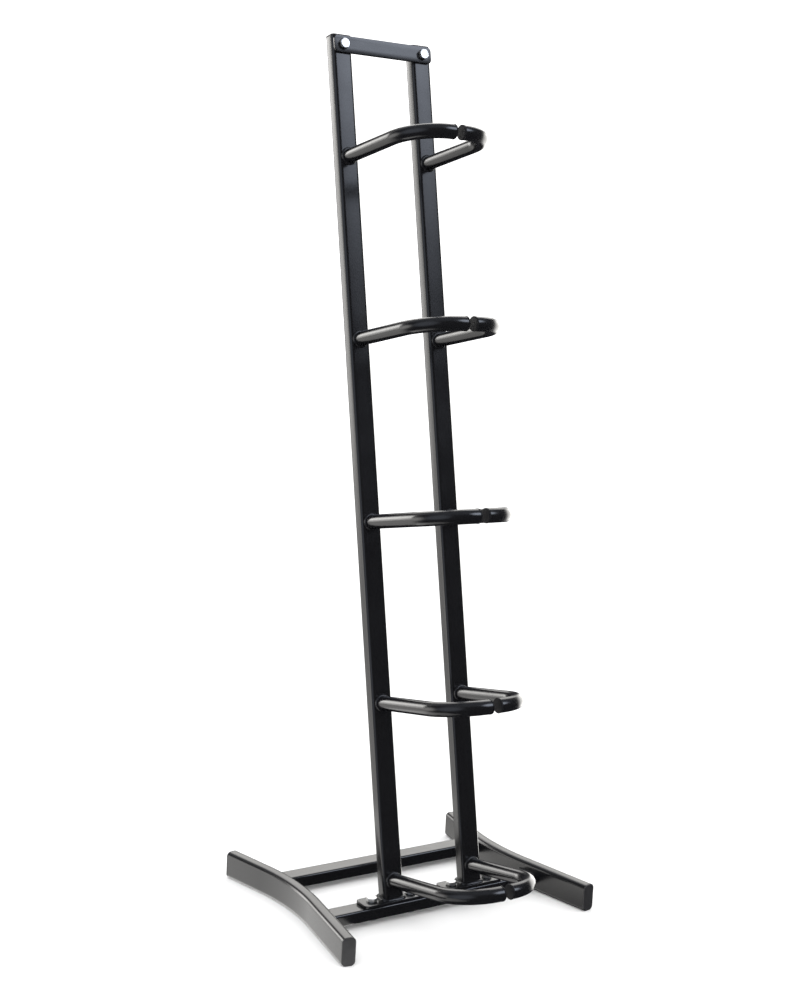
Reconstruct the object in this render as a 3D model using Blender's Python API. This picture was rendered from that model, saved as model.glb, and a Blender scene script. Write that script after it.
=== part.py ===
"""A free-standing rack that stores five balls, one above another.

Two rectangular tubes stand side by side and lean back a little. Five pairs of bent round arms are
welded to their front faces, almost square to them. The arms of a pair curve towards each other and
nearly meet, so each pair is an open ring that cradles one ball. A flat crossbar is bolted across
the top. Each upright ends in a foot plate bolted to the front one of two cross tubes, and the cross
tubes are welded between two side rails that are bent in plan and lie on the floor.

Units are metres. +Z is up, +X is to the right and -Y is the front, where the balls go in. The
origin is on the floor, under the middle of the rack's bounding box.
"""

import math

import bmesh
import bpy
from mathutils import Matrix, Vector

GAP = 0.0003  # left between two pieces that touch
FIT = 0.0003  # left around a plug in its tube, and around a bolt in its nut

# The tower: two uprights and their arms.
UPRIGHT_WIDTH = 0.040
UPRIGHT_DEPTH = 0.025
UPRIGHT_WALL = 0.002
UPRIGHT_CORNER = 0.006
UPRIGHT_SPACING = 0.1655  # between the centre lines of the two uprights
UPRIGHT_LENGTH = 1.496  # along the leaning tube
LEAN = math.radians(11.6)

ARM_HEIGHTS = (0.030, 0.335, 0.648, 0.966, 1.285)  # along the upright, from its foot
ARM_RADIUS = 0.0125
ARM_WALL = 0.002
ARM_REACH = 0.139  # straight part, from the upright to the bend
ARM_TIP = 0.0025  # straight part at the tip, past the bend
ARM_DROOP = math.radians(0.8)  # from square to the uprights
TIP_OPENING = 0.014  # between the two caps of a pair of arms

CROSSBAR_HEIGHT = 0.030
CROSSBAR_THICKNESS = 0.004
CROSSBAR_INSET = 0.0015  # from the uprights' outer faces
CROSSBAR_CORNER = 0.008

# The base: two rails, two cross tubes and two foot plates. Y is measured from the uprights' feet.
RAIL_WIDTH = 0.024
RAIL_HEIGHT = 0.048
RAIL_WALL = 0.002
RAIL_CORNER = 0.008
RAIL_FRONT = (0.2481, -0.131)  # centre line, right-hand rail
RAIL_WAIST = (0.2065, 0.108)  # where the two straight parts would meet
RAIL_REAR = (0.2431, 0.282)
RAIL_BEND = 0.45  # centre-line radius of the bend at the waist

CROSS_DEPTH = 0.036
CROSS_HEIGHT = 0.022
CROSS_WALL = 0.002
CROSS_CORNER = 0.004
CROSS_CLEARANCE = 0.009  # from the floor to the underside
CROSS_REAR_Y = 0.179

PLATE_LENGTH = 0.123
PLATE_WIDTH = 0.037
PLATE_THICKNESS = 0.005
PLATE_CORNER = 0.008
PLATE_BOLT_SPACING = 0.078
BROKEN_EDGE = 0.0006  # chamfer on the flat pieces

# Plastic caps and plugs.
CAP_THICKNESS = 0.003
CAP_EDGE = 0.0012
SPIGOT_LENGTH = 0.012
ARM_SPIGOT_LENGTH = 0.005  # short, because the tube bends close behind its tip
SPIGOT_TO_BOLT = 0.0015  # from an upright's spigot down to the crossbar's bolt hole
SPIGOT_TAPER = 0.0005  # taken off a spigot's radius at its end, over twice that length
ARM_CAP_LIP = 0.0005  # by which an arm's cap stands proud of the tube

# Metric bolts and nuts.
BOLT_RADIUS = 0.005
BOLT_CHAMFER = 0.0006
HOLE_CLEARANCE = 0.0005
HEX_ACROSS_FLATS = 0.017
HEX_CHAMFER = 0.0008  # its height
HEX_FACE = 0.95  # a chamfered face's diameter, as a share of the distance across flats
HEAD_HEIGHT = 0.0064
LOCK_NUT_HEIGHT = 0.010
THIN_NUT_HEIGHT = 0.005
BOLT_END = 0.001  # of the bolt that shows past its nut
WASHER_RADIUS = 0.010
WASHER_THICKNESS = 0.002

ROUND_STEPS = 16
CORNER_STEPS = 3
BEND_STEPS = 8

# Sizes that follow from the ones above.
UPRIGHT_X = UPRIGHT_SPACING / 2
ARM_ACROSS = UPRIGHT_X - TIP_OPENING / 2 - GAP - CAP_THICKNESS  # from an arm's root to its tip, along x
ARM_BEND = ARM_ACROSS - ARM_TIP  # centre-line radius
ARM_ROOT = -UPRIGHT_DEPTH / 2 - GAP - ARM_RADIUS * math.sin(ARM_DROOP)  # y of its middle, on the tower
CROSS_TOP = CROSS_CLEARANCE + CROSS_HEIGHT
PLATE_TOP = CROSS_TOP + GAP + PLATE_THICKNESS
HOLE_RADIUS = BOLT_RADIUS + HOLE_CLEARANCE
UPRIGHT_SPIGOT = CROSSBAR_HEIGHT / 2 - HOLE_RADIUS - SPIGOT_TO_BOLT


# Outlines: closed lists of (x, y), anticlockwise.


def circle(radius, steps=ROUND_STEPS):
    turns = [2 * math.pi * i / steps for i in range(steps)]
    return [(radius * math.cos(a), radius * math.sin(a)) for a in turns]


def hexagon(across_flats):
    """A hexagon's corners and the middles of its sides, so that it lofts to a 12-sided circle."""
    points = []
    for i in range(12):
        radius = across_flats / 2 if i % 2 else across_flats / 2 / math.cos(math.pi / 6)
        points.append((radius * math.cos(math.pi * i / 6), radius * math.sin(math.pi * i / 6)))
    return points


def rounded_rectangle(width, height, corner, flat_steps=1):
    """A rectangle with round corners, its long sides (along x) split into flat_steps."""
    points = []
    for turn, (sx, sy) in enumerate(((1, 1), (-1, 1), (-1, -1), (1, -1))):
        cx = sx * (width / 2 - corner)
        cy = sy * (height / 2 - corner)
        for i in range(CORNER_STEPS + 1):
            angle = math.pi / 2 * (turn + i / CORNER_STEPS)
            points.append((cx + corner * math.cos(angle), cy + corner * math.sin(angle)))
        if turn % 2 == 0:
            run = 2 * sx * (width / 2 - corner)
            y = points[-1][1]
            points += [(cx - run * i / flat_steps, y) for i in range(1, flat_steps)]
    return points


# Solids.


def flat_frame(z):
    return Matrix.Translation((0, 0, z))


def path_frame(x, y, heading):
    """A frame at (x, y, 0) whose z axis is the heading, an angle from -Y towards +X."""
    along = Vector((math.sin(heading), -math.cos(heading), 0))
    up = Vector((0, 0, 1))
    frame = Matrix((up.cross(along) * -1, up, along)).transposed().to_4x4()
    frame.translation = (x, y, 0)
    return frame


def place(outline, frame):
    return [frame @ Vector((x, y, 0)) for x, y in outline]


def skin(bm, rings):
    """Quads between successive rings of equally many points. Returns the end rings' vertices."""
    rows = [[bm.verts.new(point) for point in ring] for ring in rings]
    count = len(rows[0])
    for low, high in zip(rows, rows[1:]):
        for i in range(count):
            j = (i + 1) % count
            bm.faces.new((low[i], low[j], high[j], high[i]))
    return rows[0], rows[-1]


def finish(name, bm, material, parent, matrix=None):
    """Makes the node from a closed bmesh, shaded smooth across shallow edges."""
    bmesh.ops.recalc_face_normals(bm, faces=bm.faces)
    mesh = bpy.data.meshes.new(name)
    bm.to_mesh(mesh)
    bm.free()
    mesh.materials.append(material)
    mesh.shade_smooth()
    mesh.set_sharp_from_angle(angle=math.radians(40))
    return add(name, mesh, parent, matrix)


def add(name, data, parent, matrix=None):
    node = bpy.data.objects.new(name, data)
    bpy.context.scene.collection.objects.link(node)
    node.parent = parent
    if matrix is not None:
        node.matrix_local = matrix
    return node


def solid(name, rings, material, parent, matrix=None):
    bm = bmesh.new()
    first, last = skin(bm, rings)
    bm.faces.new(first)
    bm.faces.new(last)
    return finish(name, bm, material, parent, matrix)


def pipe(name, outer, inner, material, parent, matrix=None):
    """A hollow piece, open at both ends, from the rings of its outer and its inner skin."""
    bm = bmesh.new()
    for outside, inside in zip(skin(bm, outer), skin(bm, inner)):
        for i in range(len(outside)):
            j = (i + 1) % len(outside)
            bm.faces.new((outside[i], outside[j], inside[j], inside[i]))
    return finish(name, bm, material, parent, matrix)


def stack(layers):
    """Rings from (z, outline) layers."""
    return [place(outline, flat_frame(z)) for z, outline in layers]


def drill(target, spots, radius, length):
    """Cuts round holes centred on the spots (local frames, each along its z axis)."""
    bm = bmesh.new()
    for spot in spots:
        bmesh.ops.create_cone(
            bm,
            cap_ends=True,
            segments=ROUND_STEPS,
            radius1=radius,
            radius2=radius,
            depth=length,
            matrix=spot,
        )
    mesh = bpy.data.meshes.new(target.name + "_cutter")
    bm.to_mesh(mesh)
    bm.free()
    cutter = add(mesh.name, mesh, target)
    cutter.hide_render = True
    cutter.display_type = "WIRE"
    cut = target.modifiers.new("holes", "BOOLEAN")
    cut.operation = "DIFFERENCE"
    cut.solver = "EXACT"
    cut.object = cutter


def plate(name, length, width, thickness, corner, material, parent, matrix):
    """A flat plate with round corners and slightly broken edges, centred on its own z axis."""
    cut = BROKEN_EDGE
    full = rounded_rectangle(length, width, corner)
    inset = rounded_rectangle(length - 2 * cut, width - 2 * cut, corner - cut)
    half = thickness / 2
    layers = ((-half, inset), (cut - half, full), (half - cut, full), (half, inset))
    return solid(name, stack(layers), material, parent, matrix)


def plug(name, outline, wall, material, parent, matrix, spigot=SPIGOT_LENGTH, lip=0.0):
    """A tube's end cap: a spigot down the bore (-z) and a flange over the tube's end.

    outline(inset) gives the tube's outline, shrunk by inset.
    """
    bore = outline(wall + FIT)
    top = GAP + CAP_THICKNESS
    layers = (
        (-spigot, outline(wall + FIT + SPIGOT_TAPER)),
        (2 * SPIGOT_TAPER - spigot, bore),
        (GAP, bore),
        (GAP, outline(-lip)),
        (top - CAP_EDGE, outline(-lip)),
        (top - CAP_EDGE * 0.3, outline(CAP_EDGE * 0.3)),
        (top, outline(CAP_EDGE)),
    )
    return solid(name, stack(layers), material, parent, matrix)


def bolt(name, grip, material, parent, matrix):
    """A hexagon bolt. Its head sits on z = 0 and its shank runs down for the grip length."""
    shank = circle(BOLT_RADIUS, 12)
    hexagonal = hexagon(HEX_ACROSS_FLATS)
    face = circle(HEX_ACROSS_FLATS / 2 * HEX_FACE, 12)
    layers = (
        (-grip, circle(BOLT_RADIUS - BOLT_CHAMFER, 12)),
        (BOLT_CHAMFER - grip, shank),
        (0, shank),
        (0, hexagonal),
        (HEAD_HEIGHT - HEX_CHAMFER, hexagonal),
        (HEAD_HEIGHT, face),
    )
    return solid(name, stack(layers), material, parent, matrix)


def nut(name, height, material, parent, matrix):
    """A hexagon nut from z = 0 upwards, chamfered at both faces."""
    hexagonal = hexagon(HEX_ACROSS_FLATS)
    face = circle(HEX_ACROSS_FLATS / 2 * HEX_FACE, 12)
    bore = circle(BOLT_RADIUS + FIT, 12)
    outer = ((0, face), (HEX_CHAMFER, hexagonal), (height - HEX_CHAMFER, hexagonal), (height, face))
    inner = ((0, bore), (height, bore))
    return pipe(name, stack(outer), stack(inner), material, parent, matrix)


def washer(name, material, parent, matrix):
    outer = ((0, circle(WASHER_RADIUS)), (WASHER_THICKNESS, circle(WASHER_RADIUS)))
    inner = ((0, circle(HOLE_RADIUS)), (WASHER_THICKNESS, circle(HOLE_RADIUS)))
    return pipe(name, stack(outer), stack(inner), material, parent, matrix)


def material(name, colour, roughness, metallic):
    made = bpy.data.materials.new(name)
    made.use_nodes = True
    shader = made.node_tree.nodes["Principled BSDF"]
    shader.inputs["Base Color"].default_value = (*colour, 1)
    shader.inputs["Roughness"].default_value = roughness
    shader.inputs["Metallic"].default_value = metallic
    return made


# The tower.


def make_upright(side, x, paint, plastic, tower):
    """A leaning tube. Its lower end is cut level, to stand on the foot plate."""

    def outline(inset):
        width = UPRIGHT_WIDTH - 2 * inset
        depth = UPRIGHT_DEPTH - 2 * inset
        return rounded_rectangle(width, depth, UPRIGHT_CORNER - inset)

    def rings(inset):
        foot = [Vector((u, v, v * math.tan(LEAN) + GAP / math.cos(LEAN))) for u, v in outline(inset)]
        return [foot, place(outline(inset), flat_frame(UPRIGHT_LENGTH))]

    outer = rings(0)
    inner = rings(UPRIGHT_WALL)
    at = Matrix.Translation((x, 0, 0))
    upright = pipe(f"upright_{side}", outer, inner, paint, tower, at)
    bolt_hole = Matrix.Translation((0, 0, UPRIGHT_LENGTH - CROSSBAR_HEIGHT / 2))
    bolt_hole @= Matrix.Rotation(math.pi / 2, 4, "X")
    drill(upright, [bolt_hole], HOLE_RADIUS, 2 * UPRIGHT_DEPTH)
    top = flat_frame(UPRIGHT_LENGTH)
    plug(f"upright_cap_{side}", outline, UPRIGHT_WALL, plastic, upright, top, UPRIGHT_SPIGOT)


def arm_frames():
    """Stations along an arm's centre line, which starts along -Y and turns to +X."""
    frames = [path_frame(0, 0, 0)]
    for i in range(BEND_STEPS + 1):
        angle = math.pi / 2 * i / BEND_STEPS
        x = ARM_BEND * (1 - math.cos(angle))
        y = -ARM_REACH - ARM_BEND * math.sin(angle)
        frames.append(path_frame(x, y, angle))
    frames.append(path_frame(ARM_ACROSS, -ARM_REACH - ARM_BEND, math.pi / 2))
    return frames


def make_arm(name, side, at, paint, plastic, tower):
    frames = arm_frames()
    outer = [place(circle(ARM_RADIUS), frame) for frame in frames]
    inner = [place(circle(ARM_RADIUS - ARM_WALL), frame) for frame in frames]
    arm = pipe(f"arm_{name}_{side}", outer, inner, paint, tower, at)
    plug(
        f"arm_cap_{name}_{side}",
        lambda inset: circle(ARM_RADIUS - inset),
        ARM_WALL,
        plastic,
        arm,
        frames[-1],
        ARM_SPIGOT_LENGTH,
        ARM_CAP_LIP,
    )


def make_crossbar(paint, zinc, tower):
    """The flat bar across the tower's top, with a bolt through it and each upright."""
    front = -UPRIGHT_DEPTH / 2 - GAP
    height = UPRIGHT_LENGTH - CROSSBAR_HEIGHT / 2
    length = UPRIGHT_SPACING + UPRIGHT_WIDTH - 2 * CROSSBAR_INSET
    facing_front = Matrix.Rotation(math.pi / 2, 4, "X")
    at = Matrix.Translation((0, front - CROSSBAR_THICKNESS / 2, height)) @ facing_front
    bar = plate(
        "top_crossbar",
        length,
        CROSSBAR_HEIGHT,
        CROSSBAR_THICKNESS,
        CROSSBAR_CORNER,
        paint,
        tower,
        at,
    )
    holes = [Matrix.Translation((x, 0, 0)) for x in (-UPRIGHT_X, UPRIGHT_X)]
    drill(bar, holes, HOLE_RADIUS, 4 * CROSSBAR_THICKNESS)

    head = front - CROSSBAR_THICKNESS - GAP
    rear = UPRIGHT_DEPTH / 2 + GAP
    nut_at = rear + WASHER_THICKNESS + GAP
    grip = nut_at + LOCK_NUT_HEIGHT + BOLT_END - head
    facing_rear = Matrix.Rotation(-math.pi / 2, 4, "X")
    for side, x in (("left", -UPRIGHT_X), ("right", UPRIGHT_X)):
        at = Matrix.Translation((x, head, height)) @ facing_front
        bolt(f"crossbar_bolt_{side}", grip, zinc, tower, at)
        at = Matrix.Translation((x, rear, height)) @ facing_rear
        washer(f"crossbar_washer_{side}", zinc, tower, at)
        at = Matrix.Translation((x, nut_at, height)) @ facing_rear
        nut(f"crossbar_nut_{side}", LOCK_NUT_HEIGHT, zinc, tower, at)


def make_tower(paint, plastic, zinc, rack):
    """Everything that leans: its frame's z axis runs up the uprights from the foot plates."""
    lean = Matrix.Translation((0, 0, PLATE_TOP)) @ Matrix.Rotation(-LEAN, 4, "X")
    tower = add("tower", None, rack, lean)
    make_upright("left", -UPRIGHT_X, paint, plastic, tower)
    make_upright("right", UPRIGHT_X, paint, plastic, tower)
    for number, height in enumerate(ARM_HEIGHTS, 1):
        droop = Matrix.Rotation(ARM_DROOP, 4, "X")
        left = Matrix.Translation((-UPRIGHT_X, ARM_ROOT, height)) @ droop
        right = Matrix.Translation((UPRIGHT_X, ARM_ROOT, height)) @ droop @ Matrix.Rotation(math.pi, 4, "Y")
        make_arm(number, "left", left, paint, plastic, tower)
        make_arm(number, "right", right, paint, plastic, tower)
    make_crossbar(paint, zinc, tower)


# The base.


def rail_frames():
    """Stations along the right-hand rail's centre line, from its front end to its rear end."""
    front = Vector(RAIL_FRONT)
    waist = Vector(RAIL_WAIST)
    rear = Vector(RAIL_REAR)
    first = math.atan2(waist.x - front.x, -(waist.y - front.y))
    last = math.atan2(rear.x - waist.x, -(rear.y - waist.y))
    turn = (last - first) % (2 * math.pi) - 2 * math.pi
    reach = RAIL_BEND * math.tan(-turn / 2)
    start = waist + (front - waist).normalized() * reach
    centre = start - RAIL_BEND * Vector((math.cos(first), math.sin(first)))
    frames = [path_frame(*front, first)]
    for i in range(BEND_STEPS + 1):
        heading = first + turn * i / BEND_STEPS
        spot = centre + RAIL_BEND * Vector((math.cos(heading), math.sin(heading)))
        frames.append(path_frame(*spot, heading))
    frames.append(path_frame(*rear, first + turn))
    return frames


def rail_outline(inset):
    width = RAIL_WIDTH - 2 * inset
    height = RAIL_HEIGHT - 2 * inset
    return rounded_rectangle(width, height, RAIL_CORNER - inset)


def make_rail(side, at, paint, plastic, rack):
    """A side rail with a plug in each end. Its mesh is the right-hand one at half height."""
    frames = rail_frames()
    outer = [place(rail_outline(0), frame) for frame in frames]
    inner = [place(rail_outline(RAIL_WALL), frame) for frame in frames]
    rail = pipe(f"side_rail_{side}", outer, inner, paint, rack, at)
    about_face = Matrix.Rotation(math.pi, 4, "Y")
    ends = (("front", frames[0] @ about_face), ("rear", frames[-1]))
    for end, frame in ends:
        plug(f"rail_cap_{end}_{side}", rail_outline, RAIL_WALL, plastic, rail, frame)


def rail_inner_x(y):
    """x of the right-hand rail's inner face at y, read along the same facets as its mesh."""
    offset = Vector((-RAIL_WIDTH / 2, 0, 0))
    line = []
    for frame in rail_frames():
        sides = (frame @ offset, frame @ -offset)
        line.append(min(sides, key=lambda point: point.x))
    for low, high in zip(line, line[1:]):
        if low.y <= y <= high.y:
            return low.x + (high.x - low.x) * (y - low.y) / (high.y - low.y)
    raise ValueError("the cross tube lies beyond the rails")


def make_cross_tube(name, centre_y, bolts_x, paint, rack):
    """A tube across the base, its ends shaped to the rails' inner faces."""

    def rings(inset):
        outline = rounded_rectangle(
            CROSS_DEPTH - 2 * inset,
            CROSS_HEIGHT - 2 * inset,
            CROSS_CORNER - inset,
            flat_steps=4,
        )
        middle = CROSS_CLEARANCE + CROSS_HEIGHT / 2
        ends = []
        for side in (-1, 1):
            ring = []
            for u, v in outline:
                y = centre_y + u
                ring.append(Vector((side * (rail_inner_x(y) - GAP), y, middle + v)))
            ends.append(ring)
        return ends

    tube = pipe(name, rings(0), rings(CROSS_WALL), paint, rack)
    if bolts_x:
        middle = CROSS_CLEARANCE + CROSS_HEIGHT / 2
        spots = [Matrix.Translation((x, centre_y, middle)) for x in bolts_x]
        drill(tube, spots, HOLE_RADIUS, 2 * CROSS_HEIGHT)


def make_feet(paint, zinc, rack):
    """A plate under each upright, with a bolt on either side of it. Returns the bolts' x."""
    places = []
    grip = PLATE_THICKNESS + CROSS_HEIGHT + THIN_NUT_HEIGHT + BOLT_END + 3 * GAP
    upside_down = Matrix.Rotation(math.pi, 4, "X")
    for side, centre in (("left", -UPRIGHT_X), ("right", UPRIGHT_X)):
        at = Matrix.Translation((centre, 0, PLATE_TOP - PLATE_THICKNESS / 2))
        foot = plate(
            f"foot_plate_{side}",
            PLATE_LENGTH,
            PLATE_WIDTH,
            PLATE_THICKNESS,
            PLATE_CORNER,
            paint,
            rack,
            at,
        )
        offsets = (-PLATE_BOLT_SPACING / 2, PLATE_BOLT_SPACING / 2)
        holes = [Matrix.Translation((x, 0, 0)) for x in offsets]
        drill(foot, holes, HOLE_RADIUS, 4 * PLATE_THICKNESS)
        for place_name, offset in zip(("outer", "inner"), sorted(offsets, key=lambda o: -o * centre)):
            x = centre + offset
            name = f"{place_name}_{side}"
            at = Matrix.Translation((x, 0, PLATE_TOP + GAP))
            bolt(f"foot_bolt_{name}", grip, zinc, rack, at)
            at = Matrix.Translation((x, 0, CROSS_CLEARANCE - GAP)) @ upside_down
            nut(f"foot_nut_{name}", THIN_NUT_HEIGHT, zinc, rack, at)
            places.append(x)
    return places


def make_base(paint, plastic, zinc, rack):
    right = Matrix.Translation((0, 0, RAIL_HEIGHT / 2))
    left = right @ Matrix.Rotation(math.pi, 4, "Y")
    make_rail("left", left, paint, plastic, rack)
    make_rail("right", right, paint, plastic, rack)
    bolts_x = make_feet(paint, zinc, rack)
    make_cross_tube("cross_tube_front", 0, bolts_x, paint, rack)
    make_cross_tube("cross_tube_rear", CROSS_REAR_Y, (), paint, rack)


def centre_on_footprint(rack):
    """Moves the rack so that the origin is under the middle of its bounding box."""
    bpy.context.view_layer.update()
    corners = []
    for node in bpy.data.objects:
        if node.type == "MESH" and not node.hide_render:
            corners += [node.matrix_world @ vertex.co for vertex in node.data.vertices]
    for axis in (0, 1):
        values = [corner[axis] for corner in corners]
        rack.location[axis] = -(min(values) + max(values)) / 2


def main():
    for old in list(bpy.data.objects):
        bpy.data.objects.remove(old, do_unlink=True)
    paint = material("black_powder_coat", (0.012, 0.012, 0.014), 0.32, 0.0)
    plastic = material("black_plastic", (0.014, 0.014, 0.015), 0.5, 0.0)
    zinc = material("zinc_plated_steel", (0.62, 0.63, 0.65), 0.28, 1.0)
    rack = add("rack", None, None)
    make_tower(paint, plastic, zinc, rack)
    make_base(paint, plastic, zinc, rack)
    centre_on_footprint(rack)


main()
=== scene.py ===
"""The looks of a free-standing ball rack: fine surfaces, finishes, floor, light and camera.

Every shape is a grid of points worked out with numpy: an outline carried along a path, or rings
stacked along an axis. Units are metres. +Z is up, +X is to the right and -Y is the front.
"""

import math

import bmesh
import bpy
import numpy as np
from mathutils import Matrix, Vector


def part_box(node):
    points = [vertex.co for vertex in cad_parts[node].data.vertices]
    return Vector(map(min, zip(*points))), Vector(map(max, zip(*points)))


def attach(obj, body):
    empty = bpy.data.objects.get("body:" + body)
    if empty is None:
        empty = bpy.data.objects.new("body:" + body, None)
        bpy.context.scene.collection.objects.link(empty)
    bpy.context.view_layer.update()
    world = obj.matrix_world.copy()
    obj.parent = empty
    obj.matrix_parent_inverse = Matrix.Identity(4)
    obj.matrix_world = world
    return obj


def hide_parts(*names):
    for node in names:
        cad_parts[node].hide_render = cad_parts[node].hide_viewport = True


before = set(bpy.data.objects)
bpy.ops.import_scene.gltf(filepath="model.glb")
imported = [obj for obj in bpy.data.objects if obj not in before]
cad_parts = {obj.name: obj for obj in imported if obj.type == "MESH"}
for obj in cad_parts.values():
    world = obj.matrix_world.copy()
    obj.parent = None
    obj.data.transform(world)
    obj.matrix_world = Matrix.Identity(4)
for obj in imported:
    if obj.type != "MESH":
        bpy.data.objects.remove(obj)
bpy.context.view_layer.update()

# Sizes of the stock the rack is made of.
LEAN = math.radians(11.6)
UPRIGHT_WIDTH = 0.040
UPRIGHT_DEPTH = 0.025
UPRIGHT_CORNER = 0.006
UPRIGHT_LENGTH = 1.496
UPRIGHT_CROWN = 0.0005  # by which the middle of each face stands proud of its edges
UPRIGHT_SPIGOT = 0.008
ARM_RADIUS = 0.0125
ARM_REACH = 0.139
ARM_BEND = 0.06995
ARM_DROOP = math.radians(0.8)  # from square to the uprights
ARM_FLATTENING = 0.02  # share of its radius that the bent tube loses in the plane of its bend
ARM_SPIGOT = 0.005
ARM_CAP_LIP = 0.0004  # by which an arm's cap stands proud of the tube
CROSSBAR_HEIGHT = 0.030
CROSSBAR_THICKNESS = 0.004
CROSSBAR_CORNER = 0.008
RAIL_WIDTH = 0.024
RAIL_HEIGHT = 0.048
RAIL_CORNER = 0.008
RAIL_FRONT = (0.2481, -0.131)  # centre line of the right-hand rail, from the uprights' feet
RAIL_WAIST = (0.2065, 0.108)
RAIL_REAR = (0.2431, 0.282)
RAIL_BEND = 0.45
RAIL_SPIGOT = 0.012
CROSS_CORNER = 0.004
PLATE_CORNER = 0.008
LEAST_CORNER = 0.0005  # of a bore's outline
WALL = 0.002
CAP_THICKNESS = 0.003
CAP_EDGE = 0.0012
GAP = 0.0003
BOLT_RADIUS = 0.005
THREAD_PITCH = 0.0015
THREAD_DEPTH = 0.0005
HOLE_RADIUS = 0.0055
DRILL_POINTS = 48  # round a hole
DRILL_LENGTH = 0.06  # through a tube, with room to spare
HEX_ACROSS_FLATS = 0.017
HEX_POINTS = 72  # round a bolt or nut
HEX_SHARP = 14  # degrees, so that the chamfers keep their edges
HEAD_HEIGHT = 0.0064
LOCK_NUT_HEIGHT = 0.010
BOLT_END = 0.001  # of the bolt that shows past its nut
BOLT_SPIN = 40  # radians per metre of x, so that no two hexagons are turned alike
NUT_SPIN = 25
WASHER_RADIUS = 0.010
WASHER_THICKNESS = 0.002
ARM_WELD = 0.0032  # leg lengths
FOOT_WELD = 0.0042
CROSS_WELD = 0.0030
WELD_SHARP = 60
TIERS = range(1, 6)
SIDES = (("left", -1), ("right", 1))


def middle(node):
    low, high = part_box(node)
    return (np.array(low) + np.array(high)) / 2


FOOT = middle("foot_plate_left")
PLATE_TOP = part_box("foot_plate_left")[1].z
UPRIGHT_X = abs(middle("upright_left")[0])

# Frames are 4 x 4 arrays.


def shift(x, y, z):
    made = np.eye(4)
    made[:3, 3] = (x, y, z)
    return made


def turn(angle, axis):
    return np.array(Matrix.Rotation(angle, 4, axis))


TOWER = shift(0, FOOT[1], PLATE_TOP) @ turn(-LEAN, "X")  # z runs up the uprights
FACING_FRONT = turn(math.pi / 2, "X")
FACING_REAR = turn(-math.pi / 2, "X")


def moved(points, matrix):
    return points @ matrix[:3, :3].T + matrix[:3, 3]


# Outlines: arrays of (across, up), anticlockwise.


def circle(radius, count=64):
    angle = np.arange(count) * 2 * np.pi / count
    return radius * np.stack([np.cos(angle), np.sin(angle)], 1)


def rounded_rectangle(width, height, corner, steps=8):
    """Four quarter circles, one about each corner's centre, joined by the straight sides."""
    angle = np.linspace(0, np.pi / 2, steps + 1)
    corners = []
    for quarter, (sx, sy) in enumerate(((1, 1), (-1, 1), (-1, -1), (1, -1))):
        centre = (sx * (width / 2 - corner), sy * (height / 2 - corner))
        around = angle + quarter * np.pi / 2
        corners.append(np.stack([np.cos(around), np.sin(around)], 1) * corner + centre)
    return np.concatenate(corners)


def hexagon(across_flats):
    """Radius at an angle: half the distance across flats over the cosine from the nearest flat."""
    angle = np.arange(HEX_POINTS) * 2 * np.pi / HEX_POINTS
    radius = across_flats / 2 / np.cos(angle % (np.pi / 3) - np.pi / 6)
    return np.stack([radius * np.cos(angle), radius * np.sin(angle)], 1)


def evenly(outline, step=0.0005, count=None):
    """The closed outline again, with its points evenly spaced: count of them, or one per step."""
    closed = np.concatenate([outline, outline[:1]])
    gaps = np.linalg.norm(np.diff(closed, axis=0), axis=1)
    length = np.concatenate([[0], np.cumsum(gaps)])
    at = np.linspace(0, length[-1], count or round(length[-1] / step), endpoint=False)
    return np.stack([np.interp(at, length, closed[:, k]) for k in (0, 1)], 1)


# Grids of points: (rings, points in a ring, 3).


def stacked(layers):
    """Rings from (z, outline) layers. z is one number, or one for each point of the outline."""
    rings = []
    for z, outline in layers:
        height = np.broadcast_to(z, len(outline))
        rings.append(np.concatenate([outline, height[:, None]], 1))
    return np.stack(rings)


def bent_path(start, corner, end, radius, steps=48):
    """Two straight lines joined by an arc. Returns the spots and the direction angle at each."""
    start, corner, end = (np.array(point, float) for point in (start, corner, end))
    first = math.atan2(*(corner - start)[::-1])
    last = math.atan2(*(end - corner)[::-1])
    sense = np.sign(math.sin(last - first))
    reach = radius * math.tan(abs(last - first) / 2)
    bend = corner - reach * np.array([math.cos(first), math.sin(first)])
    angle = np.linspace(first, last, steps + 1)
    swing = np.stack([np.sin(angle) - math.sin(first), math.cos(first) - np.cos(angle)], 1)
    spots = np.concatenate([[start], bend + sense * radius * swing, [end]])
    return spots, np.concatenate([[first], angle, [last]])


def carried(outline, spots, angles, flattening=0.0):
    """The outline carried along a level path, each point at spot + across * left + up * z.

    Flattening narrows the outline inside the bend, by a sine that is nought at both its ends.
    """
    steps = len(spots)
    bend = np.clip((np.arange(steps) - 1) / max(steps - 3, 1), 0, 1)
    narrow = 1 - flattening * np.sin(np.pi * bend)
    left = np.stack([-np.sin(angles), np.cos(angles)], 1)
    across = outline[None, :, :1] * narrow[:, None, None]
    level = spots[:, None, :] + across * left[:, None, :]
    up = np.broadcast_to(outline[None, :, 1:], level.shape[:2] + (1,))
    return np.concatenate([level, up], 2)


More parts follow.
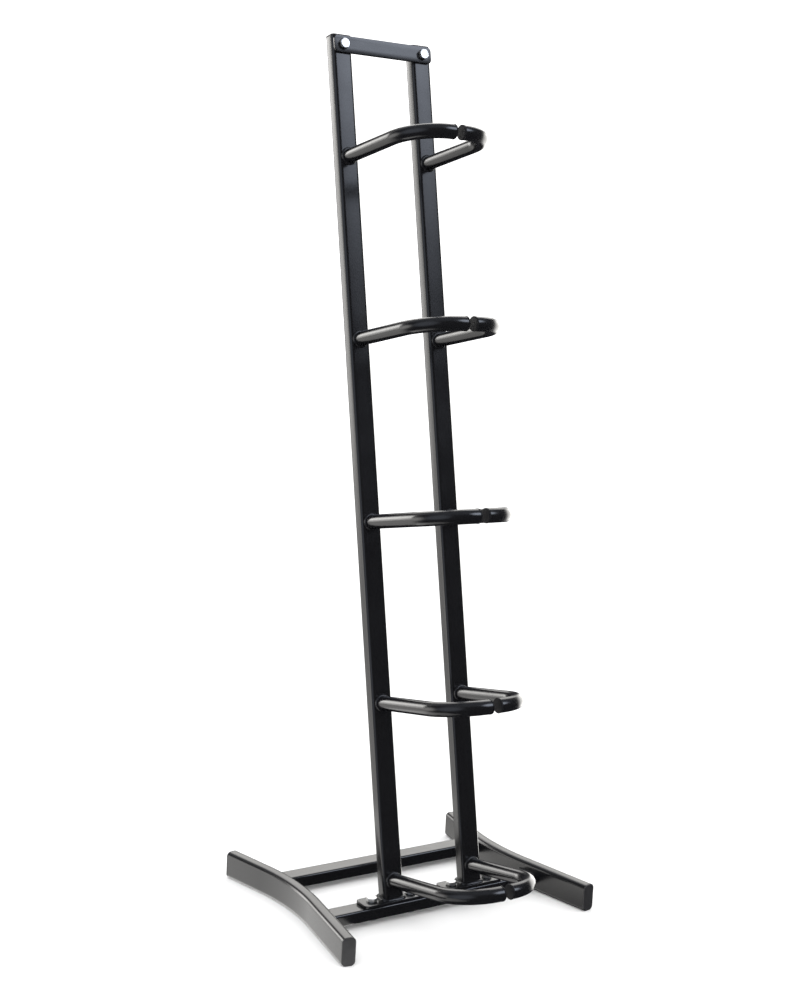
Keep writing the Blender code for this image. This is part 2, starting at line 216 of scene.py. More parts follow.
def bead(path, away, along, leg, pitch=0.0021):
    """A weld: a rippled convex fillet round a closed joint line.

    Its section is a quarter circle of the leg's radius about the joint line, from one face
    (away) round to the other (along), closed through a point behind the line. The radius swells
    in crescents, one for each pitch of the line's length, as the weld pool's waves do.
    """
    gap = np.linalg.norm(path - np.roll(path, 1, 0), axis=1)
    length = np.cumsum(gap)
    count = max(round(length[-1] / pitch), 1)
    phi = np.linspace(0, np.pi / 2, 10)
    wave = length[:, None] / length[-1] * count + 0.35 * np.sin(2 * phi)[None, :]
    swell = leg * (1 + 0.07 * np.abs(np.sin(np.pi * wave)) - 0.04)
    swell *= 1 + 0.05 * np.sin(3.1 * length / leg / 4 + 1)[:, None] * np.sin(2 * phi)
    out = np.cos(phi)[None, :, None] * away[:, None, :]
    out = out + np.sin(phi)[None, :, None] * along[:, None, :]
    skin = path[:, None, :] + swell[:, :, None] * out
    back = path - 0.25 * leg * (away + along)
    return np.concatenate([skin, back[:, None, :]], 1)


# Pieces.


def closed_mesh(name, points, faces):
    """A mesh of the faces, all turned outwards."""
    mesh = bpy.data.meshes.new(name)
    mesh.from_pydata(points, [], faces)
    shell = bmesh.new()
    shell.from_mesh(mesh)
    bmesh.ops.recalc_face_normals(shell, faces=shell.faces)
    shell.to_mesh(mesh)
    shell.free()
    return mesh


def add_object(name, data):
    made = bpy.data.objects.new(name, data)
    bpy.context.scene.collection.objects.link(made)
    return made


def surface(name, grid, finish, replaces=(), loop=False, sharp=35):
    """Makes a piece from a closed grid: quads between rings, and a flat face over each end ring.

    In a looped grid the last ring joins the first instead, as in a tube's wall or a weld.
    """
    rows, columns = grid.shape[:2]
    index = np.arange(rows * columns).reshape(rows, columns)
    below = index if loop else index[:-1]
    above = np.roll(index, -1, 0) if loop else index[1:]
    quads = np.stack([below, np.roll(below, -1, 1), np.roll(above, -1, 1), above], 2)
    faces = quads.reshape(-1, 4).tolist()
    if not loop:
        faces += [index[0][::-1].tolist(), index[-1].tolist()]
    mesh = closed_mesh(name, grid.reshape(-1, 3), faces)
    mesh.materials.append(finish)
    mesh.shade_smooth()
    mesh.set_sharp_from_angle(angle=math.radians(sharp))
    piece = add_object(name, mesh)
    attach(piece, "root")
    if replaces:
        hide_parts(*replaces)
    return piece


def drilled(piece, holes):
    """Cuts round holes, each along the z axis of its frame, and makes them part of the mesh."""
    rim = circle(HOLE_RADIUS, DRILL_POINTS)
    core = stacked([(-DRILL_LENGTH / 2, rim), (DRILL_LENGTH / 2, rim)])
    points = np.concatenate([moved(core, hole).reshape(-1, 3) for hole in holes])
    faces = []
    for number in range(len(holes)):
        low = np.arange(DRILL_POINTS) + 2 * DRILL_POINTS * number
        high = low + DRILL_POINTS
        faces += np.stack([low, np.roll(low, -1), np.roll(high, -1), high], 1).tolist()
        faces += [low[::-1].tolist(), high.tolist()]
    cutter = add_object("drill", closed_mesh("drill", points, faces))
    cut = piece.modifiers.new("holes", "BOOLEAN")
    cut.operation = "DIFFERENCE"
    cut.solver = "EXACT"
    cut.object = cutter
    graph = bpy.context.evaluated_depsgraph_get()
    drilled_mesh = bpy.data.meshes.new_from_object(piece.evaluated_get(graph))
    piece.modifiers.clear()
    piece.data = drilled_mesh
    drilled_mesh.set_sharp_from_angle(angle=math.radians(35))
    bpy.data.objects.remove(cutter)


# Finishes.


def shader_of(name, colour, roughness, metallic=0.0):
    made = bpy.data.materials.new(name)
    made.use_nodes = True
    shader = made.node_tree.nodes["Principled BSDF"]
    shader.inputs["Base Color"].default_value = (*colour, 1)
    shader.inputs["Roughness"].default_value = roughness
    shader.inputs["Metallic"].default_value = metallic
    return made, shader


def noise(tree, scale, detail, stretch=(1, 1, 1)):
    """Noise in metres on the piece: scale is how many blobs there are in a metre."""
    place = tree.nodes.new("ShaderNodeTexCoord")
    mapping = tree.nodes.new("ShaderNodeMapping")
    mapping.inputs["Scale"].default_value = stretch
    made = tree.nodes.new("ShaderNodeTexNoise")
    made.inputs["Scale"].default_value = scale
    made.inputs["Detail"].default_value = detail
    tree.links.new(place.outputs["Object"], mapping.inputs["Vector"])
    tree.links.new(mapping.outputs["Vector"], made.inputs["Vector"])
    return made.outputs["Fac"]


def spread(tree, value, low, high, start=0.3, end=0.7):
    """Maps the value's start to end on to low to high."""
    made = tree.nodes.new("ShaderNodeMapRange")
    made.inputs["From Min"].default_value = start
    made.inputs["From Max"].default_value = end
    made.inputs["To Min"].default_value = low
    made.inputs["To Max"].default_value = high
    tree.links.new(value, made.inputs["Value"])
    return made.outputs["Result"]


def blended(tree, factor, first, second):
    made = tree.nodes.new("ShaderNodeMix")
    made.data_type = "RGBA"
    tree.links.new(factor, made.inputs["Factor"])
    sockets = [socket for socket in made.inputs if socket.type == "RGBA"]
    for socket, colour in zip(sockets, (first, second)):
        socket.default_value = (*colour, 1)
    return next(socket for socket in made.outputs if socket.type == "RGBA")


def bumped(tree, height, strength, distance, before=None):
    made = tree.nodes.new("ShaderNodeBump")
    made.inputs["Strength"].default_value = strength
    made.inputs["Distance"].default_value = distance
    tree.links.new(height, made.inputs["Height"])
    if before is not None:
        tree.links.new(before, made.inputs["Normal"])
    return made.outputs["Normal"]


def powder_coat():
    """Semi-gloss black: orange peel about a millimetre across over a slower waviness."""
    made, shader = shader_of("black_powder_coat", (0.0045, 0.0045, 0.0055), 0.2)
    tree = made.node_tree
    fleck = spread(tree, noise(tree, 1500, 2), 0, 1)
    colour = blended(tree, fleck, (0.0035, 0.0036, 0.0045), (0.0058, 0.0058, 0.0068))
    tree.links.new(colour, shader.inputs["Base Color"])
    cloud = spread(tree, noise(tree, 14, 4), 0.17, 0.24)
    tree.links.new(cloud, shader.inputs["Roughness"])
    wave = bumped(tree, noise(tree, 170, 1), 0.12, 0.0002)
    peel = bumped(tree, noise(tree, 900, 2), 0.12, 0.0001, wave)
    tree.links.new(peel, shader.inputs["Normal"])
    shader.inputs["IOR"].default_value = 1.5
    return made


def moulded_plastic(name, dark, light, specular):
    """Satin black plastic with the fine spark-eroded grain of a mould."""
    made, shader = shader_of(name, light, 0.45)
    tree = made.node_tree
    cloud = spread(tree, noise(tree, 40, 3), 0.4, 0.5)
    tree.links.new(cloud, shader.inputs["Roughness"])
    tone = blended(tree, spread(tree, noise(tree, 90, 3), 0, 1), dark, light)
    tree.links.new(tone, shader.inputs["Base Color"])
    grain = bumped(tree, noise(tree, 2600, 2), 0.3, 0.00008)
    tree.links.new(grain, shader.inputs["Normal"])
    shader.inputs["Specular IOR Level"].default_value = specular
    return made


def zinc_plate():
    """Bright zinc: cloudy passivation with a trace of blue and straw, and fine handling marks."""
    made, shader = shader_of("zinc_plated_steel", (0.74, 0.75, 0.77), 0.4, 1.0)
    tree = made.node_tree
    cloud = spread(tree, noise(tree, 260, 4), 0, 1)
    colour = blended(tree, cloud, (0.68, 0.70, 0.73), (0.82, 0.81, 0.78))
    tree.links.new(colour, shader.inputs["Base Color"])
    dull = spread(tree, noise(tree, 420, 5), 0.34, 0.46)
    tree.links.new(dull, shader.inputs["Roughness"])
    marks = bumped(tree, noise(tree, 500, 6, (1, 6, 1)), 0.06, 0.0001)
    tree.links.new(marks, shader.inputs["Normal"])
    return made


def nylon():
    """The pale ring in a lock nut, faintly clouded."""
    made, shader = shader_of("natural_nylon", (0.72, 0.74, 0.76), 0.4)
    tree = made.node_tree
    cloud = spread(tree, noise(tree, 300, 2), 0, 1)
    tone = blended(tree, cloud, (0.66, 0.69, 0.72), (0.78, 0.79, 0.79))
    tree.links.new(tone, shader.inputs["Base Color"])
    return made


PAINT = powder_coat()
PLASTIC = moulded_plastic(
    "black_plastic",
    (0.015, 0.015, 0.0165),
    (0.022, 0.022, 0.024),
    0.4,
)
SOFT_PLASTIC = moulded_plastic(
    "soft_black_plastic",
    (0.005, 0.005, 0.006),
    (0.009, 0.009, 0.0105),
    0.12,
)
ZINC = zinc_plate()
NYLON = nylon()


# Tubes, plugs and plates.


def walled(outer, inner):
    """One looped grid for a tube's wall: up the outside and back down the bore."""
    return np.concatenate([outer, inner[::-1]])


def plug_rings(outline, spigot, lip=0.0):
    """A tube's end cap on z = 0: a finned spigot below and a soft-edged head above.

    outline(inset) gives the tube's outline, shrunk by inset. The head's edge is a quarter circle.
    """
    fit = WALL + GAP
    layers = [(-spigot, outline(fit + 0.0006)), (0.001 - spigot, outline(fit))]
    fins = np.linspace(0.001 - spigot, -0.001, 7)
    layers += [(z, outline(fit + (0.0003 if i % 2 else 0.0))) for i, z in enumerate(fins)]
    layers += [(0.0, outline(fit)), (GAP, outline(fit)), (GAP, outline(0.0001 - lip))]
    layers += [(GAP + 0.0002, outline(-lip))]
    top = GAP + CAP_THICKNESS
    for angle in np.linspace(0, np.pi / 2, 7):
        z = top - CAP_EDGE * (1 - math.sin(angle))
        layers.append((z, outline(CAP_EDGE * (1 - math.cos(angle)) - lip)))
    layers.append((top + 0.0001, outline(CAP_EDGE * 2.2)))
    return stacked(layers)


def plate_rings(length, width, thickness, corner, edge=0.0007):
    """A flat plate about z = 0 whose edges are quarter rounds."""
    layers = []
    for sense in (-1, 1):
        for angle in np.linspace(0, np.pi / 2, 5)[::sense]:
            inset = edge * (1 - math.cos(angle))
            z = sense * (thickness / 2 - edge * (1 - math.sin(angle)))
            outline = rounded_rectangle(length - 2 * inset, width - 2 * inset, corner - inset)
            layers.append((z, outline))
    return stacked(layers)


def crowned(outline, crown):
    """Each side drawn in towards its ends by a parabola, so its middle stands proud by crown."""
    half = outline.max(0)
    return outline * (1 - crown / half * (outline / half)[:, ::-1] ** 2)


def upright_outline(inset):
    width = UPRIGHT_WIDTH - 2 * inset
    depth = UPRIGHT_DEPTH - 2 * inset
    return rounded_rectangle(width, depth, max(UPRIGHT_CORNER - inset, LEAST_CORNER))


def upright_skin(inset):
    """The drawn tube's own section, with slightly full faces and 160 points for any inset."""
    return crowned(evenly(upright_outline(inset), count=160), UPRIGHT_CROWN)


def rail_outline(inset):
    width = RAIL_WIDTH - 2 * inset
    height = RAIL_HEIGHT - 2 * inset
    return rounded_rectangle(width, height, max(RAIL_CORNER - inset, LEAST_CORNER), 12)


def arm_outline(inset):
    return circle(ARM_RADIUS - inset)


def weld_round(outline, matrix, leg, climb=(0, 0, 1)):
    """A weld on the plane z = 0 round an outline, climbing the member that stands there."""
    ahead = np.roll(outline, -1, 0) - np.roll(outline, 1, 0)
    away = np.stack([ahead[:, 1], -ahead[:, 0], 0 * ahead[:, 0]], 1)
    away /= np.linalg.norm(away, axis=1)[:, None]
    path = np.concatenate([outline, 0 * outline[:, :1]], 1)
    along = np.broadcast_to(np.array(climb, float), path.shape)
    rotation = matrix[:3, :3].T
    return bead(moved(path, matrix), away @ rotation, along @ rotation, leg)


# Threaded pieces, each in its own frame with its axis along z.


def hex_circle(radius):
    return circle(radius, HEX_POINTS)


def hex_layers(low, high, face=0.95, slope=0.577):
    """A hexagon from low to high, chamfered at 30 degrees.

    z drops by the slope times the radius past the face.
    """
    corner = hexagon(HEX_ACROSS_FLATS)
    rim = hex_circle(HEX_ACROSS_FLATS / 2 * face)
    drop = (np.linalg.norm(corner, axis=1) - HEX_ACROSS_FLATS / 2 * face) * slope
    return [(low, rim), (low + drop, corner), (high - drop, corner), (high, rim)]


def threaded_rings(low, high):
    """A shank's helix: the radius dips by a smooth wave of z / pitch less the turn."""
    rows = round((high - low) / THREAD_PITCH * 10)
    z = np.linspace(low, high, rows + 1)
    angle = np.arange(HEX_POINTS) * 2 * np.pi / HEX_POINTS
    phase = z[:, None] / THREAD_PITCH - angle[None, :] / 2 / np.pi
    groove = (0.5 - 0.5 * np.cos(2 * np.pi * phase)) ** 0.7
    fade = np.clip((high - z) / THREAD_PITCH, 0, 1) * np.clip((z - low) / 0.0006 + 0.3, 0, 1)
    radius = BOLT_RADIUS - THREAD_DEPTH * groove * fade[:, None]
    radius -= np.clip(0.0006 - (z - low), 0, 1)[:, None]
    xy = np.stack([radius * np.cos(angle), radius * np.sin(angle)], 2)
    return np.concatenate([xy, np.broadcast_to(z[:, None, None], radius.shape + (1,))], 2)


def make_bolt(name, matrix, grip):
    """A hexagon bolt: thread, plain shank, washer face, chamfered head with a shallow dish."""
    thread = threaded_rings(-grip, -grip + 0.016)
    seat = hex_circle(HEX_ACROSS_FLATS / 2 * 0.93)
    layers = [(-0.0001, hex_circle(BOLT_RADIUS)), (0.0, seat), (0.0004, seat)]
    layers += hex_layers(0.0004, HEAD_HEIGHT)
    layers += [(HEAD_HEIGHT, hex_circle(0.0060)), (HEAD_HEIGHT - 0.0002, hex_circle(0.0057))]
    grid = moved(np.concatenate([thread, stacked(layers)]), matrix)
    surface(name, grid, ZINC, [name], sharp=HEX_SHARP)


def threaded_bore(low, high, end=0.0006):
    """A nut's bore, countersunk at both its ends."""
    bore = hex_circle(BOLT_RADIUS + 0.0002)
    return [(low, bore * 1.06), (low + end, bore), (high - end, bore), (high, bore * 1.06)]


def make_thin_nut(name, matrix, height):
    grid = walled(stacked(hex_layers(0.0, height)), stacked(threaded_bore(0.0, height)))
    surface(name, moved(grid, matrix), ZINC, [name], True, HEX_SHARP)


def make_lock_nut(name, matrix, height):
    """A nut whose round collar, 3 mm tall with a quarter-round rim, holds a nylon ring."""
    shoulder = height - 0.0030
    rim = height - 0.0004
    round_edge = 0.0011
    pocket = hex_circle(0.0063)
    layers = hex_layers(0.0, shoulder)
    for angle in np.linspace(0, np.pi / 2, 6):
        radius = 0.0062 + round_edge * math.cos(angle)
        layers.append((rim - round_edge * (1 - math.sin(angle)), hex_circle(radius)))
    inside = threaded_bore(0.0, shoulder)[:2]
    inside += [(shoulder, inside[-1][1]), (shoulder, pocket)]
    inside += [(rim - 0.0001, pocket), (rim, hex_circle(0.0060))]
    grid = walled(stacked(layers), stacked(inside))
    seat = shoulder + GAP
    ring = hex_circle(0.0062)
    ring_outer = stacked([(seat, ring), (rim - 0.0005, ring)])
    ring_inner = stacked([(seat, hex_circle(0.0051)), (rim - 0.0004, hex_circle(0.0053))])
    insert = moved(walled(ring_outer, ring_inner), matrix)
    surface(name + "_insert", insert, NYLON, loop=True)
    surface(name, moved(grid, matrix), ZINC, [name], True, HEX_SHARP)


def make_washer(name, matrix):
    edge = 0.0003
    face = circle(WASHER_RADIUS - edge)
    rim = circle(WASHER_RADIUS)
    bore = circle(HOLE_RADIUS)
    top = WASHER_THICKNESS
    outer = stacked([(0.0, face), (edge, rim), (top - edge, rim), (top, face)])
    inner = stacked([(0.0, bore * 1.03), (edge, bore), (top - edge, bore), (top, bore * 1.03)])
    surface(name, moved(walled(outer, inner), matrix), ZINC, [name], True)


def make_weld(joint, grid):
    surface(f"weld_{joint}", grid, PAINT, loop=True, sharp=WELD_SHARP)


# The tower.


def make_arm(tier, side, sense):
    name = f"arm_{tier}_{side}"
    low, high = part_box(name)
    x = sense * UPRIGHT_X
    climb = LEAN - ARM_DROOP
    root_y = high.y - ARM_RADIUS * math.sin(climb)
    root_z = low.z + ARM_RADIUS * math.cos(climb)
    height = (np.linalg.inv(TOWER) @ (x, root_y, root_z, 1))[2]
    front = -UPRIGHT_DEPTH / 2
    gap = GAP + ARM_RADIUS * math.sin(ARM_DROOP)
    mirror = np.diag([-sense, 1, 1, 1])
    face = TOWER @ shift(x, front, height) @ mirror
    at = TOWER @ shift(x, front - gap, height) @ turn(ARM_DROOP, "X") @ mirror
    cap_name = f"arm_cap_{tier}_{side}"
    cap_x = abs(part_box(cap_name)[0 if sense > 0 else 1].x)
    tip_x = UPRIGHT_X - (cap_x + GAP + CAP_THICKNESS)
    depth = ARM_REACH + ARM_BEND
    spots, angles = bent_path((0, 0), (0, -depth), (tip_x, -depth), ARM_BEND)
    outer = carried(arm_outline(0), spots, angles, ARM_FLATTENING)
    inner = carried(arm_outline(WALL), spots, angles, ARM_FLATTENING)
    surface(name, moved(walled(outer, inner), at), PAINT, [name], True)
    cap = plug_rings(arm_outline, ARM_SPIGOT, ARM_CAP_LIP)
    cap = moved(cap, at @ shift(tip_x, -depth, 0) @ turn(math.pi / 2, "Y"))
    surface(cap_name, cap, SOFT_PLASTIC, [cap_name])
    ring = evenly(circle(ARM_RADIUS, 240), 0.0004)
    make_weld(f"arm_{tier}_{side}", weld_round(ring, face @ FACING_FRONT, ARM_WELD))


def make_upright(side, sense):
    name = f"upright_{side}"
    x = sense * UPRIGHT_X
    at = TOWER @ shift(x, 0, 0)

    def rings(inset):
        outline = upright_skin(inset)
        return stacked([(outline[:, 1] * math.tan(LEAN), outline), (UPRIGHT_LENGTH, outline)])

    tube = moved(walled(rings(0), rings(WALL)), at)
    tube = surface(name, tube, PAINT, [name], True)
    drilled(tube, [at @ shift(0, 0, UPRIGHT_LENGTH - CROSSBAR_HEIGHT / 2) @ FACING_FRONT])
    cap_name = f"upright_cap_{side}"
    cap = moved(plug_rings(upright_outline, UPRIGHT_SPIGOT), at @ shift(0, 0, UPRIGHT_LENGTH))
    surface(cap_name, cap, PLASTIC, [cap_name])
    foot = evenly(upright_outline(0)) * (1, 1 / math.cos(LEAN))
    ground = shift(x, FOOT[1], PLATE_TOP)
    climb = (0, math.sin(LEAN), math.cos(LEAN))
    make_weld(f"foot_{side}", weld_round(foot, ground, FOOT_WELD, climb))


def make_crossbar():
    name = "top_crossbar"
    front = -UPRIGHT_DEPTH / 2 - GAP
    height = UPRIGHT_LENGTH - CROSSBAR_HEIGHT / 2
    low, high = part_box(name)
    at = TOWER @ shift(0, front - CROSSBAR_THICKNESS / 2, height) @ FACING_FRONT
    bar = plate_rings(high.x - low.x, CROSSBAR_HEIGHT, CROSSBAR_THICKNESS, CROSSBAR_CORNER)
    bar = surface(name, moved(bar, at), PAINT, [name])
    drilled(bar, [at @ shift(x, 0, 0) for x in (-UPRIGHT_X, UPRIGHT_X)])
    head = front - CROSSBAR_THICKNESS - GAP
    rear = UPRIGHT_DEPTH / 2 + GAP
    nut_at = rear + WASHER_THICKNESS + GAP
    grip = nut_at + LOCK_NUT_HEIGHT + BOLT_END - head
    for side, sense in SIDES:
        x = sense * UPRIGHT_X
        bolt_frame = TOWER @ shift(x, head, height) @ FACING_FRONT @ turn(0.3 + 0.5 * sense, "Z")
        make_bolt(f"crossbar_bolt_{side}", bolt_frame, grip)
        washer_frame = TOWER @ shift(x, rear, height) @ FACING_REAR
        make_washer(f"crossbar_washer_{side}", washer_frame)
        nut_frame = TOWER @ shift(x, nut_at, height) @ FACING_REAR
        make_lock_nut(f"crossbar_nut_{side}", nut_frame, LOCK_NUT_HEIGHT)


# The base.


def rail_path():
    points = (RAIL_FRONT, RAIL_WAIST, RAIL_REAR)
    front, waist, rear = (np.array(point) + (0, FOOT[1]) for point in points)
    return bent_path(front, waist, rear, RAIL_BEND)


def make_rail(side, sense):
    name = f"side_rail_{side}"
    spots, angles = rail_path()
    at = np.diag([sense, 1, 1, 1]) @ shift(0, 0, RAIL_HEIGHT / 2)
    outer = carried(rail_outline(0), spots, angles)
    inner = carried(rail_outline(WALL), spots, angles)
    surface(name, moved(walled(outer, inner), at), PAINT, [name], True)
    front_end = ("front", spots[0], angles[0] + np.pi)
    rear_end = ("rear", spots[-1], angles[-1])
    for end, spot, angle in (front_end, rear_end):
        cap_name = f"rail_cap_{end}_{side}"
        ahead = np.array([math.cos(angle), math.sin(angle), 0])
        basis = np.eye(4)
        basis[:3, 0] = (-ahead[1], ahead[0], 0)
        basis[:3, 1] = (0, 0, 1)
        basis[:3, 2] = ahead
        basis[:3, 3] = (*spot, 0)
        cap = moved(plug_rings(rail_outline, RAIL_SPIGOT), at @ basis)
        surface(cap_name, cap, PLASTIC, [cap_name])


def rail_face(y):
    """x of the right-hand rail's inner face at y."""
    spots, angles = rail_path()
    left = np.stack([-np.sin(angles), np.cos(angles)], 1)
    face = spots + left * RAIL_WIDTH / 2
    order = np.argsort(face[:, 1])
    return np.interp(y, face[order, 1], face[order, 0])


def make_cross_tube(name, holes_x):
    low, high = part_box(name)
    depth, height = high.y - low.y, high.z - low.z
    centre = middle(name)

    def section(inset):
        corner = max(CROSS_CORNER - inset, LEAST_CORNER)
        return evenly(rounded_rectangle(depth - 2 * inset, height - 2 * inset, corner), 0.001)

    count = len(section(0))

    def rings(inset):
        outline = section(inset)
        at = np.linspace(0, len(outline), count, endpoint=False)
        wrap = np.concatenate([outline, outline[:1]])
        outline = np.stack([np.interp(at, np.arange(len(wrap)), wrap[:, k]) for k in (0, 1)], 1)
        y = centre[1] + outline[:, 0]
        z = centre[2] + outline[:, 1]
        return np.stack([np.stack([sense * rail_face(y), y, z], 1) for _, sense in SIDES])

    tube = surface(name, walled(rings(0), rings(WALL)), PAINT, [name], True)
    if holes_x:
        drilled(tube, [shift(x, centre[1], centre[2]) for x in holes_x])
    for side, sense in SIDES:
        outline = evenly(rounded_rectangle(depth, height, CROSS_CORNER), 0.0005)
        y = centre[1] + outline[:, 0]
        path = np.stack([sense * rail_face(y), y, centre[2] + outline[:, 1]], 1)
        ahead = np.roll(outline, -1, 0) - np.roll(outline, 1, 0)
        slope = (rail_face(y + 0.001) - rail_face(y - 0.001)) / 0.002
        away = np.stack([sense * slope * ahead[:, 1], ahead[:, 1], -ahead[:, 0]], 1)
        away /= np.linalg.norm(away, axis=1)[:, None]
        along = np.broadcast_to(np.array([-sense, 0.0, 0.0]), path.shape)
        make_weld(f"{name}_{side}", bead(path, away, along, CROSS_WELD))


def make_feet():
    """A plate, two bolts and two nuts under each upright. Returns the bolts' x."""
    holes_x = []
    for side, _ in SIDES:
        name = f"foot_plate_{side}"
        low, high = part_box(name)
        centre = middle(name)
        grid = plate_rings(high.x - low.x, high.y - low.y, high.z - low.z, PLATE_CORNER)
        plate = surface(name, moved(grid, shift(*centre)), PAINT, [name])
        spots = {place: middle(f"foot_bolt_{place}_{side}") for place in ("outer", "inner")}
        drilled(plate, [shift(spot[0], spot[1], centre[2]) for spot in spots.values()])
        for place, (x, y, _) in spots.items():
            bolt = f"foot_bolt_{place}_{side}"
            nut = f"foot_nut_{place}_{side}"
            seat = PLATE_TOP + GAP
            bolt_frame = shift(x, y, seat) @ turn(BOLT_SPIN * x, "Z")
            make_bolt(bolt, bolt_frame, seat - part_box(bolt)[0].z)
            low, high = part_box(nut)
            nut_frame = shift(x, y, low.z) @ turn(NUT_SPIN * x, "Z")
            make_thin_nut(nut, nut_frame, high.z - low.z)
            holes_x.append(x)
    return holes_x


def make_rack():
    for side, sense in SIDES:
        make_upright(side, sense)
        for tier in TIERS:
            make_arm(tier, side, sense)
        make_rail(side, sense)
    make_crossbar()
    make_cross_tube("cross_tube_front", make_feet())
    make_cross_tube("cross_tube_rear", ())


# The studio.


def make_floor():
    mesh = bpy.data.meshes.new("floor")
    reach = 14.0
    corners = [(-reach, -reach, 0), (reach, -reach, 0), (reach, reach, 0), (-reach, reach, 0)]
    mesh.from_pydata(corners, [], [(0, 1, 2, 3)])
    made, shader = shader_of("pale_floor", (0.88, 0.88, 0.88), 0.7)
    tree = made.node_tree
    cloud = spread(tree, noise(tree, 1.5, 3), 0, 1)
    tone = blended(tree, cloud, (0.875, 0.875, 0.875), (0.885, 0.885, 0.885))
    tree.links.new(tone, shader.inputs["Base Color"])
    shader.inputs["Specular IOR Level"].default_value = 0.0
    mesh.materials.append(made)
    floor = add_object("floor", mesh)
    floor.visible_glossy = False


CARD_HEIGHT = 0.0004


def make_card(name, low, high, front_level, rear_level):
    """A lit card lying just above the floor, brighter towards the rear, which only gloss sees."""
    mesh = bpy.data.meshes.new(name)
    (left, front), (right, rear) = low, high
    corners = [(left, front), (right, front), (right, rear), (left, rear)]
    mesh.from_pydata([(x, y, CARD_HEIGHT) for x, y in corners], [], [(0, 1, 2, 3)])
    made, shader = shader_of(name, (0, 0, 0), 1.0)
    shader.inputs["Emission Color"].default_value = (1.0, 0.99, 0.97, 1)
    tree = made.node_tree
    split = tree.nodes.new("ShaderNodeSeparateXYZ")
    tree.links.new(tree.nodes.new("ShaderNodeTexCoord").outputs["Object"], split.inputs[0])
    level = spread(tree, split.outputs["Y"], front_level, rear_level, front, rear)
    tree.links.new(level, shader.inputs["Emission Strength"])
    mesh.materials.append(made)
    card = add_object(name, mesh)
    card.visible_camera = False
    card.visible_diffuse = False
    card.visible_shadow = False


def look(ahead, roll=0.0):
    """A frame whose -z axis points ahead, with its x axis level but for the roll."""
    right = np.cross(ahead, (0, 0, 1))
    right = right / np.linalg.norm(right)
    up = np.cross(right, ahead)
    made = np.eye(4)
    made[:3, 0] = right * math.cos(roll) + up * math.sin(roll)
    made[:3, 1] = up * math.cos(roll) - right * math.sin(roll)
    made[:3, 2] = -ahead
    return made


def maths(tree, operation, first, second=0.0):
    made = tree.nodes.new("ShaderNodeMath")
    made.operation = operation
    for socket, value in zip(made.inputs, (first, second)):
        if isinstance(value, (int, float)):
            socket.default_value = value
        else:
            tree.links.new(value, socket)
    return made.outputs[0]


def glow(tree, direction, azimuth, elevation, core, edge, level, power):
    """A soft round patch of sky: its level within core of its middle, and nothing past edge.

    Angles are in degrees, azimuth from straight behind the rack towards its right. Between core
    and edge the level follows a smooth step of the angle's cosine, raised to the power.
    """
    azimuth, elevation = math.radians(azimuth), math.radians(elevation)
    flat = math.cos(elevation)
    towards = (math.sin(azimuth) * flat, math.cos(azimuth) * flat, math.sin(elevation))
    dot = tree.nodes.new("ShaderNodeVectorMath")
    dot.operation = "DOT_PRODUCT"
    tree.links.new(direction, dot.inputs[0])
    dot.inputs[1].default_value = towards
    made = tree.nodes.new("ShaderNodeMapRange")
    made.interpolation_type = "SMOOTHSTEP"
    made.inputs["From Min"].default_value = math.cos(math.radians(edge))
    made.inputs["From Max"].default_value = math.cos(math.radians(core))
    tree.links.new(dot.outputs["Value"], made.inputs["Value"])
    shaped = maths(tree, "POWER", made.outputs["Result"], float(power))
    return maths(tree, "MULTIPLY", shaped, float(level))


WARM = (1.0, 0.985, 0.955)
COOL = (0.88, 0.96, 1.12)
PATCHES = (
    # azimuth, elevation, core, edge, level, power, tint
    (-28, 1, 1, 13, 4.5, 1, WARM),  # tall softbox behind on the left: its foot
    (-24, 14, 2, 13, 7.5, 1, WARM),  # and its head
    (-26, -32, 8, 34, 1.2, 1, WARM),  # the floor in front of it
    (-58, -2, 4, 24, 2.4, 1, WARM),  # the light that it throws on the wall
    (-50, -6, 10, 40, 0.5, 1, WARM),  # the wall beside it
    (66, -4, 18, 28, 4.0, 1, WARM),  # white wall on the right
    (34, 38, 18, 29, 2.8, 1, WARM),  # high behind
    (-8, 36, 10, 34, 0.5, 1, WARM),  # its spill
    (-110, 15, 10, 40, 0.8, 1, COOL),  # left of the camera
    (141, 37, 8, 22, 5.0, 2, COOL),  # softbox high in front
    (0, 90, 30, 60, 0.3, 1, COOL),  # ceiling
)


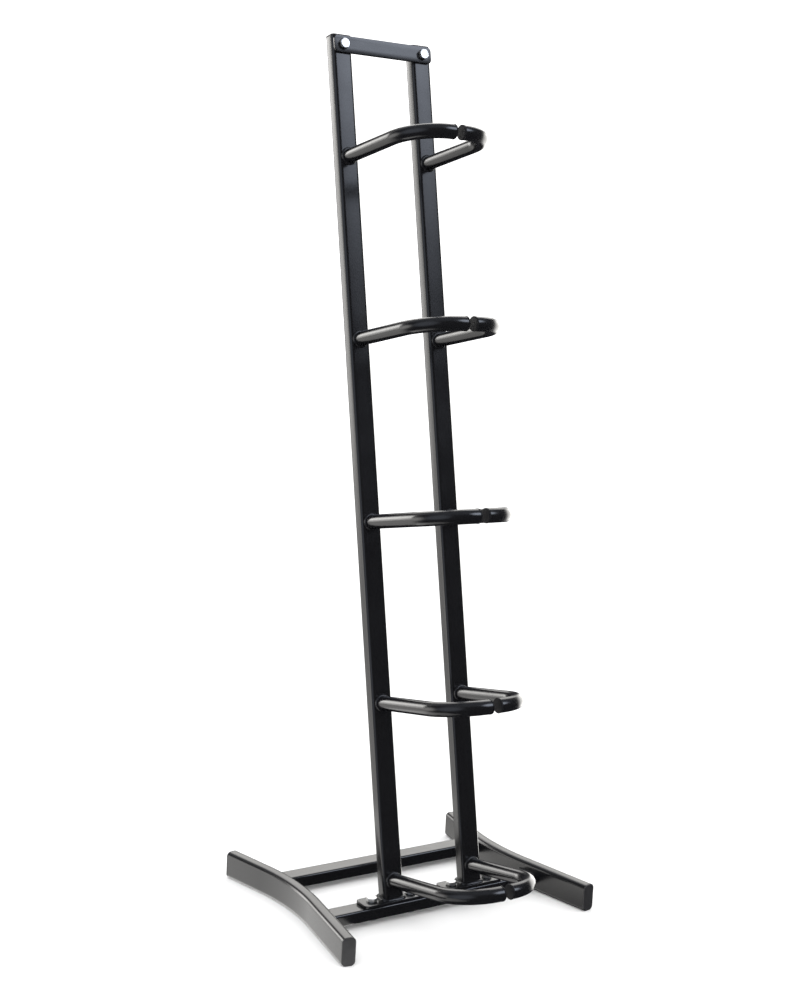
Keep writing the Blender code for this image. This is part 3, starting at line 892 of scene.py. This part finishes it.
def make_world():
    """A white studio. The camera and matt surfaces see it plain, and gloss sees its softboxes."""
    world = bpy.data.worlds.new("studio")
    bpy.context.scene.world = world
    world.use_nodes = True
    tree = world.node_tree
    plain = tree.nodes["Background"]
    plain.inputs["Color"].default_value = (1, 1, 1, 1)
    plain.inputs["Strength"].default_value = 1.6
    mirrored = tree.nodes.new("ShaderNodeBackground")
    direction = tree.nodes.new("ShaderNodeTexCoord").outputs["Generated"]
    channels = [0.035, 0.035, 0.04]
    for azimuth, elevation, core, edge, level, power, tint in PATCHES:
        patch = glow(tree, direction, azimuth, elevation, core, edge, level, power)
        for number, share in enumerate(tint):
            tinted = maths(tree, "MULTIPLY", patch, share)
            channels[number] = maths(tree, "ADD", tinted, channels[number])
    join = tree.nodes.new("ShaderNodeCombineXYZ")
    for socket, channel in zip(join.inputs, channels):
        tree.links.new(channel, socket)
    tree.links.new(join.outputs[0], mirrored.inputs["Color"])
    mix = tree.nodes.new("ShaderNodeMixShader")
    path = tree.nodes.new("ShaderNodeLightPath")
    tree.links.new(path.outputs["Is Glossy Ray"], mix.inputs[0])
    tree.links.new(plain.outputs[0], mix.inputs[1])
    tree.links.new(mirrored.outputs[0], mix.inputs[2])
    tree.links.new(mix.outputs[0], tree.nodes["World Output"].inputs["Surface"])


def make_overhead(energy, spot, size):
    """A square softbox aimed at the middle of the floor, which gloss doesn't see."""
    data = bpy.data.lights.new("overhead", "AREA")
    data.energy = energy
    data.size = size
    light = add_object("overhead", data)
    ahead = -np.array(spot) / np.linalg.norm(spot)
    light.rotation_euler = Matrix(look(ahead).tolist()).to_3x3().to_euler()
    light.location = spot
    light.visible_glossy = False


CAMERA_LENS = 56.83  # mm, on a frame 36 mm high
CAMERA_AIM = (33.58, 8.305, 2.847)  # degrees: to the right, down, and roll
CAMERA_SPOT = (-1.5342, -2.1527, 1.1075)  # from the uprights' feet, but z from the floor


def make_camera():
    """Looks slightly down at the rack from its front left, with a small roll."""
    data = bpy.data.cameras.new("camera")
    data.sensor_fit = "VERTICAL"
    data.sensor_height = 36.0
    data.lens = CAMERA_LENS
    camera = add_object("camera", data)
    yaw, pitch, roll = (math.radians(angle) for angle in CAMERA_AIM)
    flat = math.cos(pitch)
    ahead = np.array([math.sin(yaw) * flat, math.cos(yaw) * flat, -math.sin(pitch)])
    at = look(ahead, roll)
    at[:3, 3] = CAMERA_SPOT + np.array([0, FOOT[1], 0])
    camera.matrix_world = Matrix(at.tolist())
    bpy.context.scene.camera = camera


make_rack()
make_floor()
make_world()
make_overhead(12, (-0.6, 0.4, 3.6), 3.0)
make_card("rail_card", (-0.62, -0.36), (-0.16, 0.42), 1.0, 2.6)
make_camera()
bpy.context.scene.view_settings.view_transform = "Standard"
bpy.context.scene.view_settings.look = "None"
